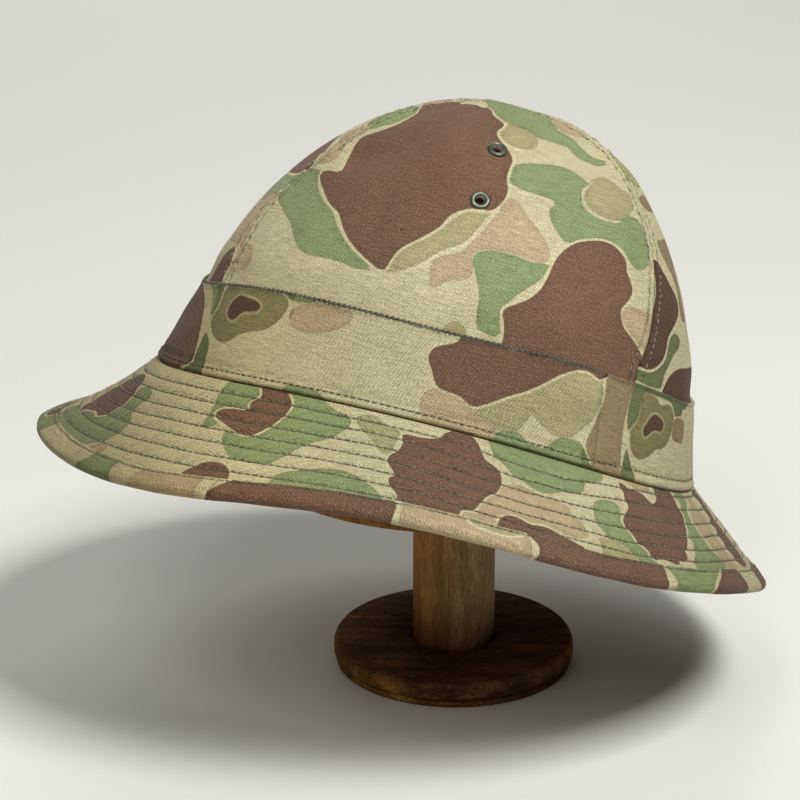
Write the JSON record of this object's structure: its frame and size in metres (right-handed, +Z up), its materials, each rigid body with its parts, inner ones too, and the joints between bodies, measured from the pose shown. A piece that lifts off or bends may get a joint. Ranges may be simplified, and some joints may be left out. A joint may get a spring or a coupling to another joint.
{
  "type": "safari hat on a wooden hat stand",
  "caption": "Soft cotton sun hat with a domed panelled crown, plain band and stitched sloping brim, resting tipped on a small turned wooden hat stand.",
  "frame": {"origin": "centre of the stand's foot, on the floor", "axes": "+Z up the stand's post, -X toward the hat's front, -Y toward the wearer's left, which is the side the picture shows"},
  "size_m": [0.2727, 0.2577, 0.2175],
  "materials": {
    "printed_cotton": "matte twill with a printed camouflage pattern",
    "printed_cotton_band": "matte twill with a printed camouflage pattern",
    "eyelet_metal": "dark green paint, worn at the rim",
    "dark_wood": "dark oiled, low sheen",
    "post_wood": "plain turned, low sheen",
    "head_wood": "plain turned, low sheen"
  },
  "bodies": {
    "root": {"crown_panel_left": "printed_cotton", "crown_panel_right": "printed_cotton", "crown_panel_front": "printed_cotton", "crown_panel_back": "printed_cotton", "hat_band": "printed_cotton_band", "brim": "printed_cotton", "brim_binding": "printed_cotton_band", "eyelet_left_lower": "eyelet_metal", "eyelet_left_upper": "eyelet_metal", "eyelet_right_lower": "eyelet_metal", "eyelet_right_upper": "eyelet_metal", "stand_base": "dark_wood", "stand_post": "post_wood", "stand_head": "head_wood"}
  },
  "joints": []
}
